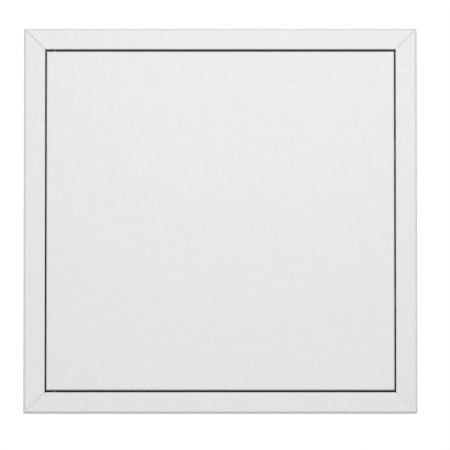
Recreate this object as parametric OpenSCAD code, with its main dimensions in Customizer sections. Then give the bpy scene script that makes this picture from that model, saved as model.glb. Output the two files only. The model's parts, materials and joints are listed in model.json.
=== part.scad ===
// Ceiling access panel: a mitred folded frame with a flush door on spring hinge pins, held by two
// magnetic push latches. Millimetres. The face looks along -Y, +Z is up and +Y runs into the
// ceiling void. The origin is the middle of the panel, on the plane of the ceiling's surface.

/* [Opening] */
// Width of the structural opening, which is the collar's outside width
opening_w = 450; // [320:1:700]
// Height of the structural opening, which is the collar's outside height
opening_h = 450; // [320:1:700]

/* [Frame] */
// Sheet thickness of the frame rails
frame_sheet = 1.2; // [0.8:0.1:1.6]
// Width of the flange that covers the cut edge of the ceiling
flange_w = 26; // [16:0.5:40]
// Depth of the flange's turned lip, whose edge rests on the ceiling
lip_d = 5; // [4.5:0.1:8]
// Inside radius of the bend at the flange's outer edge
flange_bend_r = 1.8; // [0.5:0.1:2.4]
// Inside radius of all other bends
bend_r = 0.5; // [0.3:0.1:0.8]
// Width of the stiffening hem at the collar's back
hem_w = 10; // [4:0.5:16]
// Rounding of the frame's outer corners
corner_r = 3; // [1:0.1:3.4]
// Open joint between two mitred rails
mitre_gap = 0.5; // [0.1:0.05:0.8]
// Room between the latches and the collar's hem
back_room = 1.5; // [0.5:0.5:30]

/* [Corner joints] */
// Leg length of the corner brackets
corner_leg = 40; // [36:1:60]
// Plate thickness of the corner brackets
corner_plate = 1.5; // [1:0.1:3]
// Shank diameter of the rivets
rivet_d = 3.2; // [2.4:0.1:4]
// Distance of the first rivet from the corner
rivet_first = 14; // [10:0.5:16]
// Distance between two rivets on a leg
rivet_pitch = 17; // [10:0.5:18]
// Leg length of the flat cleats that back the flange's mitres
cleat_leg = 46; // [32:1:80]
// Plate thickness of the cleats
cleat_plate = 1.2; // [0.8:0.1:2]

/* [Fixing to the opening] */
// Diameter of the fixing holes in the collar
fixing_d = 5; // [3:0.1:7]
// Distance of the fixing holes from the collar's inside corners
fixing_inset = 68; // [64:1:90]

/* [Door] */
// Visible gap at the door's two sides
door_gap = 1.8; // [1.4:0.1:3]
// Visible gap above and below the door
end_gap = 2.8; // [1.4:0.1:4]
// Sheet thickness of the door pan
door_sheet = 1.2; // [0.8:0.1:1.6]
// Depth of the door pan's returns
door_return = 16; // [15:0.5:24]
// Width of the inward lip on three of the returns
door_lip = 12; // [11:0.5:16]
// Open seam at the folded corners
door_seam = 0.4; // [0.2:0.05:1]
// Width of the stiffener's crown
stiffener_w = 40; // [20:1:80]
// Height of the stiffener off the door's skin
stiffener_h = 9; // [6:0.5:9.5]
// Width of each foot of the stiffener
stiffener_foot = 14; // [8:0.5:20]
// Sheet thickness of the stiffener
stiffener_sheet = 1; // [0.6:0.1:1.5]

/* [Hinge] */
// Diameter of the hinge pins
pin_d = 6; // [5:0.1:6.5]
// Radial clearance of the hinge pins in their holes
pin_fit = 0.08; // [0.02:0.01:0.1]
// Depth of the pin axis behind the door's face
pin_back = 6.5; // [6:0.1:7.5]
// Clearance of the door's edge to the collar as it swings
swing_gap = 0.6; // [0.4:0.1:0.8]
// Reach of the hinge pins past the collar
pin_reach = 1.5; // [0.5:0.1:2]
// Length of the pin springs as fitted
pin_spring_l = 24; // [18:1:40]
// Wire diameter of the pin springs
pin_spring_wire = 0.9; // [0.6:0.1:1.1]
// Length of the finger tails
pin_tail = 20; // [14:1:30]
// Plate thickness of the hinge brackets
bracket_plate = 1.5; // [1:0.1:2]

/* [Stop and seals] */
// Sheet thickness of the stop angles
stop_sheet = 1; // [0.8:0.1:1.5]
// Inward reach of the stop angles
stop_w = 14; // [13:0.5:18]
// Depth of the stop angles' leg on the collar
stop_leg = 9; // [6:0.5:12]
// Thickness of the thin seal on the hinge side
thin_seal = 2.5; // [1:0.1:5]
// Width of the seals
seal_w = 12; // [8:0.5:12.5]
// Clearance of the seals to the closed and the swinging door
seal_gap = 0.4; // [0.3:0.1:1]

/* [Latches] */
// Distance of each latch from the collar's inside corner
latch_inset = 128; // [105:1:135]
// Diameter of the latch plungers
plunger_d = 10; // [9:0.1:10.4]
// Length of the latch plungers
plunger_l = 28; // [26:0.5:40]
// Radial clearance of the plungers in their housings
plunger_fit = 0.1; // [0.05:0.01:0.12]
// Travel of a plunger when the door is pushed
plunger_press = 3; // [2:0.1:4]
// Diameter of the magnets
magnet_d = 8; // [6:0.1:8.4]
// Thickness of the magnets
magnet_h = 3.3; // [2:0.1:5]
// Clearance between a magnet and its strike plate
touch_gap = 0.3; // [0.2:0.05:0.5]
// Wall of the latch housings
latch_wall = 3; // [2.4:0.1:4]
// Width of each screw ear
ear_w = 12; // [9:0.5:15]
// Length of each screw ear
ear_l = 12; // [9:0.5:13]
// Thickness of the screw ears
ear_t = 3; // [2:0.1:4]
// Diameter of the latch screws
screw_d = 3.5; // [2.9:0.1:4]
// Length of the strike plates
strike_l = 28; // [20:1:40]
// Thickness of the strike plates
strike_t = 1; // [0.8:0.1:1.5]

/* [Hidden] */
$fn = 48;
// Cuts reach this far past the surface they open
over = 1;

// Clearances of parts that lie beside each other
side_gap = 0.3;
close_fit = 0.15;

// Frame
face_y = -lip_d;
inner_w = opening_w / 2 - frame_sheet;
inner_h = opening_h / 2 - frame_sheet;

// Door
door_half_w = inner_w - door_gap;
door_half_h = inner_h - end_gap;
door_bend = bend_r + door_sheet;
skin_y = face_y + door_sheet;
door_back = face_y + door_return;
lip_y = door_back - door_sheet;

// Hinge: the pin stands in far enough for the rounded edge to swing past the collar
pin_r = pin_d / 2;
pin_spring_r = pin_r + pin_fit + side_gap + pin_spring_wire / 2;
pin_spring_turns = 7;
pin_clip_r = pin_spring_r + pin_spring_wire / 2;
swing_room = door_gap - swing_gap;
edge_in = (pow(pin_back - door_bend, 2) - pow(swing_room, 2)) / (2 * swing_room);
bracket_in = door_sheet + bracket_plate + side_gap + pin_clip_r;
pin_in = max(door_bend + edge_in, bracket_in);
hinge_x = -door_half_w + pin_in;
hinge_y = face_y + pin_back;
swing_r = norm([pin_in, door_return - pin_back]);
groove_d = 0.6;
groove_r = pin_r - groove_d;
groove_fit = 0.05;
clip_t = 1;
clip_z = door_half_h - door_sheet - side_gap - clip_t;
ear_top = clip_z - pin_spring_l;
ear_low = ear_top - bracket_plate;

// Stop and seals, behind the swing of the door's hinge edge
swing_back = hinge_y + swing_r;
stop_y = swing_back + seal_gap + thin_seal;
seal_y = door_back + seal_gap;
seal_start_x = hinge_x + swing_r + seal_gap;

// Latches
strike_back = door_back + strike_t;
plunger_r = plunger_d / 2;
plunger_front = strike_back + 2 * touch_gap;
plunger_back = plunger_front + plunger_l;
latch_x = door_half_w - door_lip / 2;
latch_z = inner_h - latch_inset;
latch_base = inner_w - latch_x;
latch_r = plunger_r + plunger_fit + latch_wall;
latch_front = stop_y + stop_sheet + side_gap;
cap_plug = 1.5;
cap_t = 1.2;
plug_y = plunger_back + plunger_press + side_gap;
latch_back = plug_y + cap_plug;
cap_back = latch_back + cap_t;
leg_end = stop_y + stop_leg;
ear_y = leg_end + side_gap;
screw_y = ear_y + ear_l / 2;
screw_off = latch_r + ear_w / 2;
ear_fillet = ear_w / 2 - screw_d - side_gap;
lead_in = 0.6;

// Cam that locks a plunger: a wire in the housing rests in the notch of a heart-shaped island
cam_wire_d = 1;
cam_depth = 1.2;
cam_half_w = 2.6;
cam_release = 9;
cam_back = 16;
cam_arm = 10;
cam_y = plunger_front + cam_back;
cam_pivot_y = cam_y + cam_arm;
cam_pivot_hole = 0.8 * latch_wall;
cam_pivot_leg = 0.6 * latch_wall;
cam_spine_r = latch_r - side_gap;
cam_island = [[-1.5, -0.05], [0, 0.75], [1.5, -0.05], [1.5, 1.6], [0, 5.6], [-1.5, 1.6]];
plunger_web = 4;
plunger_bore_r = 3.1;
plunger_bore_y = plunger_front + magnet_h + plunger_web;
latch_spring_wire = 0.7;
latch_spring_turns = 8;

// Back of the frame
hem_y = cap_back + back_room;
collar_d = hem_y + frame_sheet;
corner_y0 = leg_end + side_gap;
corner_y1 = hem_y - bend_r - side_gap;
joint_y = (corner_y0 + corner_y1) / 2;

// The four sides, their half lengths along and across, and the two latches
SIDES = ["top", "latch", "bottom", "hinge"];
LATCHES = ["upper", "lower"];
function is_level(side) = side == "top" || side == "bottom";
function half_along(side) = is_level(side) ? opening_w / 2 : opening_h / 2;
function half_across(side) = is_level(side) ? opening_h / 2 : opening_w / 2;
function side_turn(side) = side == "top" ? 0 : side == "latch" ? 90 : side == "bottom" ? 180 : 270;
function latch_at(latch) = latch == "upper" ? latch_z : -latch_z;

// General shapes

module quarter_disc(r) {
  intersection() {
    circle(r);
    square(r);
  }
}

// Folded angle with its outside corner at the origin and legs along +X and +Y
module angle_section(leg_x, leg_y, sheet, r) {
  bend = r + sheet;
  translate([bend, 0])
    square([leg_x - bend, sheet]);
  translate([0, bend])
    square([sheet, leg_y - bend]);
  translate([bend, bend])
    rotate(180)
      difference() {
        quarter_disc(bend);
        quarter_disc(r);
      }
}

// Rectangle from y = 0 to depth whose two corners at y = 0 are round
module rounded_front(half, depth, r) {
  translate([-half, r])
    square([2 * half, depth - r]);
  translate([r - half, 0])
    square([2 * (half - r), r]);
  for (flip = [0, 1])
    mirror([flip, 0])
      translate([half - r, r])
        mirror([0, 1])
          quarter_disc(r);
}

// Plan shapes drawn in X and Z, standing from y0 to y1
module along_y(y0, y1) {
  translate([0, y1, 0])
    rotate([90, 0, 0])
      linear_extrude(height = y1 - y0)
        children();
}

module rod_y(r, y0, y1) {
  translate([0, y0, 0])
    rotate([-90, 0, 0])
      cylinder(r = r, h = y1 - y0);
}

// Profile of (radius, y) turned about the Y axis
module turned_y(profile) {
  rotate([-90, 0, 0])
    rotate_extrude()
      polygon(profile);
}

module rod_x(r, x0, x1) {
  translate([x0, 0, 0])
    rotate([0, 90, 0])
      cylinder(r = r, h = x1 - x0);
}

module on_side(side) {
  rotate([0, side_turn(side), 0])
    children();
}

// Bar of a given section along one side, mitred at both ends. The section lies in (outward, y),
// with its zero on the collar's outside, between the limits p_in and p_out.
module mitred_bar(side, p_in, p_out) {
  along = half_along(side);
  across = half_across(side);
  recess = mitre_gap / sqrt(2);
  intersection() {
    translate([0, 0, across])
      rotate([0, -90, 0])
        linear_extrude(height = 2 * (along + p_out), center = true)
          children();
    along_y(face_y - over, collar_d + over)
      polygon([
        [-(along + p_out - recess), across + p_out],
        [along + p_out - recess, across + p_out],
        [along + p_in - recess, across + p_in],
        [-(along + p_in - recess), across + p_in]
      ]);
  }
}

// Compression spring along +Z with a closed coil at each end
function coil_rise(turn, turns, wire, length) =
  let (dead = 1.1 * wire, first = wire / 2 + dead, last = length - first)
  turn < 1 ? wire / 2 + dead * turn
  : turn > turns - 1 ? length - wire / 2 - dead * (turns - turn)
  : first + (last - first) * (turn - 1) / (turns - 2);

module coil_spring(r, wire, length, turns) {
  steps = 14;
  sides = 6;
  count = round(turns * steps);
  points = [
    for (i = [0 : count], j = [0 : sides - 1])
      let (
        around = 360 * i / steps,
        across = 360 * j / sides,
        reach = r + wire / 2 * cos(across)
      )
      [
        reach * cos(around),
        reach * sin(around),
        coil_rise(i / steps, turns, wire, length) + wire / 2 * sin(across)
      ]
  ];
  walls = [
    for (i = [0 : count - 1], j = [0 : sides - 1])
      let (
        a = i * sides + j,
        b = i * sides + (j + 1) % sides,
        c = a + sides,
        d = b + sides
      )
      each [[a, b, d], [a, d, c]]
  ];
  start = [for (j = [sides - 1 : -1 : 0]) j];
  finish = [for (j = [0 : sides - 1]) count * sides + j];
  polyhedron(points = points, faces = concat([start], walls, [finish]), convexity = 8);
}

// Frame

module rail_section() {
  half_flange = flange_w / 2;
  half_collar = collar_d / 2;
  translate([-frame_sheet, face_y])
    angle_section(half_flange + frame_sheet, half_collar - face_y, frame_sheet, bend_r);
  translate([flange_w, face_y])
    mirror([1, 0])
      angle_section(half_flange, lip_d, frame_sheet, flange_bend_r);
  translate([0, collar_d])
    rotate(180)
      angle_section(frame_sheet + hem_w, collar_d - half_collar, frame_sheet, bend_r);
}

// Rivet places on one side: two at each end of the collar
module at_rivets(side) {
  for (end = [-1, 1], step = [0, 1])
    on_side(side)
      translate([
        end * (half_along(side) - frame_sheet - rivet_first - step * rivet_pitch),
        joint_y,
        half_across(side) - frame_sheet
      ])
        children();
}

module at_fixings(side) {
  for (end = [-1, 1])
    on_side(side)
      translate([
        end * (half_along(side) - frame_sheet - fixing_inset),
        joint_y,
        half_across(side) - frame_sheet
      ])
        children();
}

// Screw places of one latch, where +Z runs out through the collar
module at_ears(latch) {
  for (ear = [-1, 1])
    on_side("latch")
      translate([ear * screw_off - latch_at(latch), screw_y, inner_w])
        children();
}

module at_latch_screws() {
  for (latch = LATCHES)
    at_ears(latch)
      children();
}

module collar_hole(d) {
  translate([0, 0, -over])
    cylinder(d = d, h = frame_sheet + 2 * over);
}

module hinge_bore() {
  translate([hinge_x, hinge_y, 0])
    cylinder(r = pin_r + pin_fit, h = opening_h + 2 * over, center = true);
}

// Takes the sharp point off the flange's mitred tip, with a circle a little larger than the rounding
module tip_round(side) {
  r = min(corner_r, flange_bend_r + frame_sheet);
  loose = 1.03;
  for (flip = [0, 1])
    on_side(side)
      mirror([flip, 0, 0])
        translate([half_along(side) + flange_w, 0, half_across(side) + flange_w])
          along_y(face_y - over, over)
            difference() {
              translate([-r, -r])
                square(2 * r);
              translate([-r, -r])
                circle(loose * r);
            }
}

module frame_rail(side) {
  color("whitesmoke")
    difference() {
      on_side(side)
        mitred_bar(side, -frame_sheet - hem_w - over, flange_w + over)
          rail_section();
      tip_round(side);
      at_rivets(side)
        collar_hole(rivet_d + 2 * pin_fit);
      at_fixings(side)
        collar_hole(fixing_d);
      if (side == "latch")
        at_latch_screws()
          collar_hole(screw_d);
      if (is_level(side))
        hinge_bore();
    }
}

// Bracket in the corner at the given ends of X and Z
module corner_bracket(end_x, end_z) {
  color("silver")
    difference() {
      translate([end_x * inner_w, 0, end_z * inner_h])
        mirror([end_x > 0 ? 1 : 0, 0, 0])
          mirror([0, 0, end_z > 0 ? 1 : 0])
            along_y(corner_y0, corner_y1)
              angle_section(corner_leg, corner_leg, corner_plate, bend_r);
      for (side = SIDES)
        at_rivets(side)
          translate([0, 0, -corner_plate - over])
            cylinder(d = rivet_d + 2 * pin_fit, h = corner_plate + 2 * over);
    }
}

// Flat plate behind the flange, across the mitre at the given ends of X and Z
module corner_cleat(end_x, end_z) {
  low = bend_r + side_gap;
  high = flange_w - frame_sheet - flange_bend_r - side_gap;
  start = high - cleat_leg;
  back = face_y + frame_sheet;
  color("silver")
    mirror([end_x < 0 ? 1 : 0, 0, 0])
      mirror([0, 0, end_z < 0 ? 1 : 0])
        translate([opening_w / 2, 0, opening_h / 2])
          along_y(back, back + cleat_plate)
            polygon([
              [start, low],
              [low, low],
              [low, start],
              [high, start],
              [high, high - corner_r],
              [high - corner_r, high],
              [start, high]
            ]);
}

// Blind rivet along +Z: its head lies on a stack of plates that ends at z = 0
module rivet(stack) {
  shank = rivet_d / 2;
  head_r = rivet_d;
  head_h = 0.3 * rivet_d;
  crown_r = 0.8 * head_r;
  tail_r = 0.72 * rivet_d;
  tail_h = 0.6 * rivet_d;
  mandrel_r = 0.33 * rivet_d;
  rotate_extrude()
    polygon([
      [0, tail_h],
      [tail_r, tail_h],
      [tail_r, 0],
      [shank, 0],
      [shank, -stack],
      [head_r, -stack],
      [crown_r, -stack - head_h],
      [mandrel_r, -stack - head_h],
      [mandrel_r, -stack],
      [0, -stack]
    ]);
}

module corner_rivets() {
  color("lightgray")
    for (side = SIDES)
      at_rivets(side)
        translate([0, 0, frame_sheet])
          rivet(corner_plate + frame_sheet);
}

// Stop and seals

module stop_angle(side) {
  color("gainsboro")
    difference() {
      on_side(side)
        mitred_bar(side, -frame_sheet - stop_w - over, -frame_sheet + over)
          translate([-frame_sheet, stop_y])
            mirror([1, 0])
              angle_section(stop_w, stop_leg, stop_sheet, bend_r);
      if (side == "latch")
        for (latch = LATCHES)
          at_latch(latch)
            along_y(stop_y - over, stop_y + stop_sheet + over) {
              circle(plunger_r + over);
              translate([-stop_w, -plunger_r - over])
                square([stop_w, 2 * (plunger_r + over)]);
            }
    }
}

// Strip of foam between two corners in X and Z, from y0 back to the stop
module seal_strip(low, high, y0) {
  translate([low[0], y0, low[1]])
    cube([high[0] - low[0], stop_y - y0, high[1] - low[1]]);
}

module seal_rail(side) {
  color("black")
    mirror([0, 0, side == "bottom" ? 1 : 0])
      seal_strip(
        [seal_start_x, inner_h - side_gap - seal_w],
        [inner_w - seal_w - 2 * side_gap, inner_h - side_gap],
        seal_y
      );
}

module seal_latch() {
  outer = inner_w - side_gap;
  inner = outer - seal_w;
  clear = strike_l / 2 + side_gap;
  color("black") {
    seal_strip([inner, clear - latch_z], [outer, latch_z - clear], seal_y);
    for (flip = [0, 1])
      mirror([0, 0, flip])
        seal_strip([inner, latch_z + clear], [outer, inner_h - side_gap], seal_y);
  }
}

module seal_hinge() {
  outer = side_gap - inner_w;
  inner = outer + seal_w;
  edge = inner_h - side_gap;
  thin_y = stop_y - thin_seal;
  color("black") {
    seal_strip([outer, -edge], [inner, edge], thin_y);
    for (flip = [0, 1])
      mirror([0, 0, flip])
        seal_strip([inner + side_gap, edge - seal_w], [seal_start_x - side_gap, edge], thin_y);
  }
}

// Latches

module at_latch(latch) {
  translate([latch_x, 0, latch_at(latch)])
    children();
}

// Barrel on a flat base: the outline of the housing and its cap
module latch_outline() {
  intersection() {
    union() {
      circle(latch_r);
      translate([0, -latch_r])
        square([latch_base, 2 * latch_r]);
    }
    translate([-latch_r - over, -latch_r - over])
      square([latch_r + over + latch_base, 2 * (latch_r + over)]);
  }
}

// Plate across both ears, with a fillet on each side of the barrel
module ear_web() {
  root = latch_base - ear_t;
  polygon([
    [latch_base, -screw_off],
    [latch_base, screw_off],
    [root, screw_off],
    [root, latch_r + ear_fillet],
    [root - ear_fillet, latch_r],
    [root - ear_fillet, -latch_r],
    [root, -latch_r - ear_fillet],
    [root, -screw_off]
  ]);
}

// Housing without its screw ears: barrel, web, bore and the cuts for the stop angle and the cam wire
module latch_barrel() {
  bore_r = plunger_r + plunger_fit;
  groove_w = cam_wire_d + 2 * close_fit;
  difference() {
    union() {
      along_y(latch_front, latch_back)
        latch_outline();
      along_y(ear_y, ear_y + ear_l)
        ear_web();
    }
    rod_y(bore_r, latch_front - over, latch_back + over);
    // Lead-in at the mouth
    turned_y([
      [0, latch_front - over],
      [bore_r + lead_in + over, latch_front - over],
      [bore_r, latch_front + lead_in],
      [0, latch_front + lead_in]
    ]);
    // Seat of the stop angle's leg
    translate([latch_base - stop_sheet - close_fit, latch_front - over, -latch_r - over])
      cube([
        stop_sheet + close_fit + over,
        leg_end + close_fit - latch_front + over,
        2 * (latch_r + over)
      ]);
    // Groove, pivot hole and window of the cam wire
    translate([-latch_r - over, cam_y - cam_wire_d, -groove_w / 2])
      cube([
        over + latch_r - cam_spine_r + groove_w / 2,
        cam_arm + 2 * cam_wire_d,
        groove_w
      ]);
    translate([-latch_r, cam_pivot_y, 0])
      rod_x(groove_w / 2, 0, cam_pivot_hole);
    translate([-latch_r - over, cam_y - cam_wire_d, -cam_half_w])
      cube([over + latch_wall + 2 * plunger_fit, 2 * cam_wire_d, 2 * cam_half_w]);
  }
}

module latch_housing(latch) {
  color("white")
    difference() {
      union() {
        at_latch(latch)
          latch_barrel();
        at_ears(latch)
          translate([0, 0, -ear_t])
            cylinder(d = ear_l, h = ear_t);
      }
      at_ears(latch)
        translate([0, 0, -ear_t - over])
          cylinder(d = screw_d + 2 * close_fit, h = ear_t + 2 * over);
    }
}

module latch_end_cap(latch) {
  color("white")
    at_latch(latch) {
      along_y(latch_back, cap_back)
        latch_outline();
      rod_y(plunger_r, plug_y, latch_back);
    }
}

// Bent wire: two legs into the barrel, joined by a spine along it
module latch_cam_wire(latch) {
  r = cam_wire_d / 2;
  bend = cam_wire_d;
  pivot_in = latch_r - cam_pivot_leg;
  cam_in = plunger_r - cam_depth + close_fit;
  color("dimgray")
    at_latch(latch) {
      translate([-cam_spine_r, 0, 0])
        rod_y(r, cam_y + bend, cam_pivot_y - bend);
      translate([0, cam_y, 0])
        rod_x(r, bend - cam_spine_r, -cam_in);
      translate([0, cam_pivot_y, 0])
        rod_x(r, bend - cam_spine_r, -pivot_in);
      for (elbow = [[cam_y + bend, 180], [cam_pivot_y - bend, 90]])
        translate([bend - cam_spine_r, elbow[0], 0])
          rotate(elbow[1])
            rotate_extrude(angle = 90)
              translate([bend, 0])
                circle(r);
    }
}

module latch_screws() {
  head_r = screw_d;
  head_h = 0.6 * screw_d;
  tip = 0.5 * screw_d;
  slot = 0.25 * screw_d;
  shank_r = screw_d / 2 - pin_fit;
  color("silver")
    at_latch_screws()
      difference() {
        rotate_extrude()
          polygon([
            [0, frame_sheet + tip],
            [screw_d / 4, frame_sheet + tip],
            [shank_r, frame_sheet],
            [shank_r, -ear_t],
            [head_r, -ear_t],
            [0.9 * head_r, -ear_t - 0.6 * head_h],
            [0.5 * head_r, -ear_t - head_h],
            [0, -ear_t - head_h]
          ]);
        for (turn = [0, 90])
          rotate(turn)
            translate([-head_r / 2, -slot / 2, -ear_t - head_h - over])
              cube([head_r, slot, over + head_h / 2]);
      }
}

module latch_spring(latch) {
  start = plunger_bore_y + close_fit;
  color("silver")
    at_latch(latch)
      translate([0, start, 0])
        rotate([-90, 0, 0])
          coil_spring(
            plunger_bore_r - side_gap - latch_spring_wire / 2,
            latch_spring_wire,
            plug_y - close_fit - start,
            latch_spring_turns
          );
}

module latch_plunger(latch) {
  floor_x = plunger_r - cam_depth;
  pocket_r = magnet_d / 2 + pin_fit / 2;
  pocket_y = plunger_front + magnet_h - touch_gap;
  edge = (plunger_r - pocket_r) / 2;
  front = cam_y - plunger_press - cam_wire_d;
  back = min(cam_y + cam_release + cam_wire_d, plunger_back - over);
  color("whitesmoke")
    at_latch(latch)
      difference() {
        turned_y([
          [0, pocket_y],
          [pocket_r, pocket_y],
          [pocket_r, plunger_front],
          [plunger_r - edge, plunger_front],
          [plunger_r, plunger_front + edge],
          [plunger_r, plunger_back],
          [plunger_bore_r, plunger_back],
          [plunger_bore_r, plunger_bore_y],
          [0, plunger_bore_y]
        ]);
        difference() {
          translate([-plunger_r - over, front, -cam_half_w])
            cube([plunger_r + over - floor_x, back - front, 2 * cam_half_w]);
          translate([-plunger_r - 2 * over, cam_y, 0])
            rotate([90, 0, 90])
              linear_extrude(height = plunger_r + 3 * over)
                polygon([for (p = cam_island) [p[1], p[0]]]);
        }
      }
}

module latch_magnet(latch) {
  color("slategray")
    at_latch(latch)
      rod_y(magnet_d / 2, plunger_front - touch_gap, plunger_front + magnet_h - touch_gap);
}

// Door

// Solid of the closed pan, shrunk by inset on its front and sides
module pan_block(inset, back) {
  depth = back - face_y - inset;
  r = door_bend - inset;
  intersection() {
    translate([0, face_y + inset, 0])
      linear_extrude(height = 2 * (door_half_h - inset), center = true)
        rounded_front(door_half_w - inset, depth, r);
    translate([0, face_y + inset, 0])
      rotate([0, 90, 0])
        linear_extrude(height = 2 * (door_half_w - inset), center = true)
          rounded_front(door_half_h - inset, depth, r);
  }
}

module door_pan() {
  window_h = door_half_h - door_lip;
  window_x = door_sheet - door_half_w;
  color("whitesmoke")
    difference() {
      pan_block(0, door_back);
      pan_block(door_sheet, lip_y);
      translate([window_x, lip_y - over, -window_h])
        cube([door_half_w - door_lip - window_x, door_sheet + 2 * over, 2 * window_h]);
      for (flip = [0, 1])
        mirror([0, 0, flip])
          along_y(face_y + door_bend, door_back + over)
            corner_seams(window_x, window_h);
      hinge_bore();
    }
}

// Seams of the pan's upper corners: butted on the hinge side, mitred on the latch side
module corner_seams(window_x, window_h) {
  translate([window_x, window_h - over])
    square([door_seam, door_lip + 2 * over]);
  translate([door_half_w, door_half_h])
    rotate(225)
      translate([-over, -door_seam / 2])
        square([door_lip * sqrt(2) + 2 * over, door_seam]);
}

// Hat channel up the middle of the skin's back
module door_stiffener() {
  sheet = stiffener_sheet;
  crown = skin_y + stiffener_h;
  half_leg = stiffener_h / 2;
  length = 2 * (door_half_h - door_bend - side_gap);
  color("gainsboro")
    linear_extrude(height = length, center = true)
      for (flip = [0, 1])
        mirror([flip, 0]) {
          translate([stiffener_w / 2, crown])
            rotate(180)
              angle_section(stiffener_w / 2, half_leg, sheet, bend_r);
          translate([stiffener_w / 2 - sheet, skin_y])
            angle_section(sheet + stiffener_foot, stiffener_h - half_leg, sheet, bend_r);
        }
}

module strike_plate(latch) {
  inset = side_gap + bend_r;
  half_w = door_lip / 2 - inset;
  r = half_w / 2;
  color("silver")
    at_latch(latch)
      along_y(door_back, strike_back) {
        square([2 * (half_w - r), strike_l], center = true);
        square([2 * half_w, strike_l - 2 * r], center = true);
        for (turn = [0, 180], flip = [0, 1])
          rotate(turn)
            mirror([flip, 0])
              translate([half_w - r, strike_l / 2 - r])
                quarter_disc(r);
      }
}

// Hinge: each set is drawn at the top and mirrored for the bottom

module at_hinge(end) {
  mirror([0, 0, end == "bottom" ? 1 : 0])
    translate([hinge_x, hinge_y, 0])
      children();
}

module hinge_bracket(end) {
  base_x = door_sheet - pin_in;
  front = skin_y + bend_r + side_gap - hinge_y;
  depth = 2 * min(-front, door_back - hinge_y);
  base_h = pin_spring_l + bracket_plate - side_gap;
  color("silver")
    at_hinge(end)
      difference() {
        translate([base_x, 0, ear_low])
          along_y(front, front + depth)
            angle_section(pin_clip_r + over - base_x, base_h, bracket_plate, bend_r);
        translate([0, 0, ear_low - over])
          cylinder(r = pin_r + pin_fit, h = bracket_plate + 2 * over);
      }
}

// Pin with a chamfered tip, a groove for its clip, an elbow and a tail for a finger
module hinge_pin(end) {
  elbow = pin_d;
  elbow_z = ear_low - pin_r;
  tip = opening_h / 2 + pin_reach;
  chamfer = pin_reach / 2;
  groove = clip_z - groove_fit - elbow_z;
  groove_end = groove + clip_t + 2 * groove_fit;
  color("silver")
    at_hinge(end) {
      translate([0, 0, elbow_z])
        rotate_extrude()
          polygon([
            [0, 0],
            [pin_r, 0],
            [pin_r, groove],
            [groove_r, groove],
            [groove_r, groove_end],
            [pin_r, groove_end],
            [pin_r, tip - chamfer - elbow_z],
            [pin_r - chamfer, tip - elbow_z],
            [0, tip - elbow_z]
          ]);
      translate([elbow, 0, elbow_z])
        rotate([90, 0, 0])
          rotate(180)
            rotate_extrude(angle = 90)
              translate([elbow, 0])
                circle(pin_r);
      translate([0, 0, elbow_z - elbow])
        rotate([0, 90, 0])
          rotate_extrude()
            polygon([
              [0, elbow],
              [pin_r, elbow],
              [pin_r, pin_tail - chamfer],
              [pin_r - chamfer, pin_tail],
              [0, pin_tail]
            ]);
    }
}

// Snap ring, pushed sideways into the pin's groove: three inner lugs and a mouth
module hinge_clip(end) {
  inner = groove_r + groove_fit;
  mouth = 1.6 * groove_r;
  relief = (pin_clip_r - groove_r) / 3;
  relief_turn = 115;
  color("dimgray")
    at_hinge(end)
      translate([0, 0, clip_z])
        linear_extrude(height = clip_t)
          difference() {
            circle(pin_clip_r);
            circle(inner);
            translate([0, -mouth / 2])
              square([pin_clip_r + over, mouth]);
            for (turn = [-1, 1])
              rotate(relief_turn * turn)
                translate([inner, 0])
                  circle(relief);
          }
}

module hinge_spring(end) {
  color("silver")
    at_hinge(end)
      translate([0, 0, ear_top + close_fit])
        coil_spring(
          pin_spring_r, pin_spring_wire, pin_spring_l - 2 * close_fit, pin_spring_turns
        );
}

frame_rail("top");  // frame_rail_top
frame_rail("latch");  // frame_rail_latch
frame_rail("bottom");  // frame_rail_bottom
frame_rail("hinge");  // frame_rail_hinge
corner_bracket(1, 1);  // corner_bracket_top_latch
corner_bracket(1, -1);  // corner_bracket_bottom_latch
corner_bracket(-1, -1);  // corner_bracket_bottom_hinge
corner_bracket(-1, 1);  // corner_bracket_top_hinge
corner_rivets();
corner_cleat(1, 1);  // corner_cleat_top_latch
corner_cleat(1, -1);  // corner_cleat_bottom_latch
corner_cleat(-1, -1);  // corner_cleat_bottom_hinge
corner_cleat(-1, 1);  // corner_cleat_top_hinge
stop_angle("top");  // stop_angle_top
stop_angle("latch");  // stop_angle_latch
stop_angle("bottom");  // stop_angle_bottom
stop_angle("hinge");  // stop_angle_hinge
seal_rail("top");  // seal_top
seal_latch();
seal_rail("bottom");  // seal_bottom
seal_hinge();
latch_housing("upper");  // latch_housing_upper
latch_housing("lower");  // latch_housing_lower
latch_end_cap("upper");  // latch_end_cap_upper
latch_end_cap("lower");  // latch_end_cap_lower
latch_cam_wire("upper");  // latch_cam_wire_upper
latch_cam_wire("lower");  // latch_cam_wire_lower
latch_screws();
latch_spring("upper");  // latch_spring_upper
latch_spring("lower");  // latch_spring_lower
latch_plunger("upper");  // latch_plunger_upper
latch_plunger("lower");  // latch_plunger_lower
latch_magnet("upper");  // latch_magnet_upper
latch_magnet("lower");  // latch_magnet_lower
door_pan();
door_stiffener();
strike_plate("upper");  // strike_plate_upper
strike_plate("lower");  // strike_plate_lower
hinge_bracket("top");  // hinge_bracket_top
hinge_bracket("bottom");  // hinge_bracket_bottom
hinge_pin("top");  // hinge_pin_top
hinge_pin("bottom");  // hinge_pin_bottom
hinge_clip("top");  // hinge_clip_top
hinge_clip("bottom");  // hinge_clip_bottom
hinge_spring("top");  // hinge_spring_top
hinge_spring("bottom");  // hinge_spring_bottom
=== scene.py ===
"""Looks of a square white ceiling access panel: powder-coated frame and door, foam seal, zinc fittings.

Everything is in metres, in the panel's own frame: the face looks along -Y and +Y runs into the void.
"""

import json
import math
import random

import bmesh
import bpy
from mathutils import Matrix, Vector

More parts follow.
